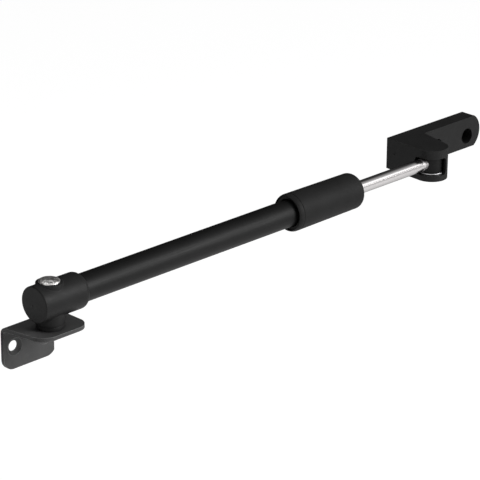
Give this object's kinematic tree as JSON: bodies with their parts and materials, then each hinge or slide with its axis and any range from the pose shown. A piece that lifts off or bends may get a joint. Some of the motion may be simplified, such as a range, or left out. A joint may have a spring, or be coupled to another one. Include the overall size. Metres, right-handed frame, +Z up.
{
  "type": "telescopic window stay",
  "caption": "Telescopic window stay: a polished rod slides in a black tube and a grip that is turned brakes it; an angle bracket holds it on the frame, a fork bracket on the sash.",
  "frame": {"origin": "midway between the two screw holes of the frame bracket, on the face that lies against the window frame", "axes": "+X along the stay from the frame pivot to the sash, +Y into the window frame, +Z up"},
  "size_m": [0.3453, 0.0357, 0.0479],
  "materials": {
    "powder_steel": "fine matt powder coat on bent steel plate",
    "painted_casting": "fine matt powder coat on a die casting",
    "coated_tube": "matt black coated steel tube",
    "grip_plastic": "matt moulded plastic",
    "black_plastic": "matt moulded plastic",
    "polished_steel": "polished",
    "bright_steel": "bright, lightly worn",
    "plated_steel": "zinc plated",
    "zinc": "as turned",
    "acetal": "smooth natural acetal",
    "rubber": "matt",
    "brass": "as turned"
  },
  "bodies": {
    "frame_side": {"frame_bracket": "powder_steel", "pivot_pin": "bright_steel", "spacer_ring": "black_plastic"},
    "barrel": {"end_cap": "painted_casting", "pivot_bush": "acetal", "barrel_tube": "coated_tube", "end_buffer": "rubber", "brake_body": "zinc", "brake_collet": "acetal", "stem_gland": "acetal", "grip_clip": "bright_steel"},
    "clamp": {"clamp_ring": "brass"},
    "grip": {"grip_sleeve": "grip_plastic", "grip_insert": "brass", "rod_wiper": "rubber"},
    "slider": {"piston": "acetal", "drag_ring": "rubber"},
    "rod": {"rod": "polished_steel", "rod_eye": "painted_casting", "piston_screw": "plated_steel", "stop_ring": "rubber"},
    "sash_side": {"fork_bracket": "painted_casting", "fork_pin": "bright_steel", "fork_washer": "bright_steel"}
  },
  "joints": [
    {"name": "stay_swing", "type": "hinge", "parent": "frame_side", "child": "barrel", "pos_m": [0, -0.0169, 0.0258], "axis": [0, 0, 1], "range_deg": [-180, 1]},
    {"name": "grip_turn", "type": "hinge", "parent": "barrel", "child": "grip", "pos_m": [0.18, -0.0169, 0.0258], "axis": [-1, 0, 0], "range_deg": [0, 180]},
    {"name": "clamp_press", "type": "slide", "parent": "barrel", "child": "clamp", "axis": [-1, 0, 0], "range_m": [0, 0.00101]},
    {"name": "rod_slide", "type": "slide", "parent": "barrel", "child": "slider", "axis": [1, 0, 0], "range_m": [-0.05, 0.084]},
    {"name": "rod_turn", "type": "hinge", "parent": "slider", "child": "rod", "pos_m": [0.0715, -0.0169, 0.0258], "axis": [1, 0, 0], "continuous": true},
    {"name": "fork_swing", "type": "hinge", "parent": "rod", "child": "sash_side", "pos_m": [0.27005, -0.0169, 0.0258], "axis": [0, 0, 1], "range_deg": [-72, 2]}
  ],
  "couplings": [
    {"joint": "clamp_press", "follows": "grip_turn", "m_per_rad": 0.00031831}
  ]
}
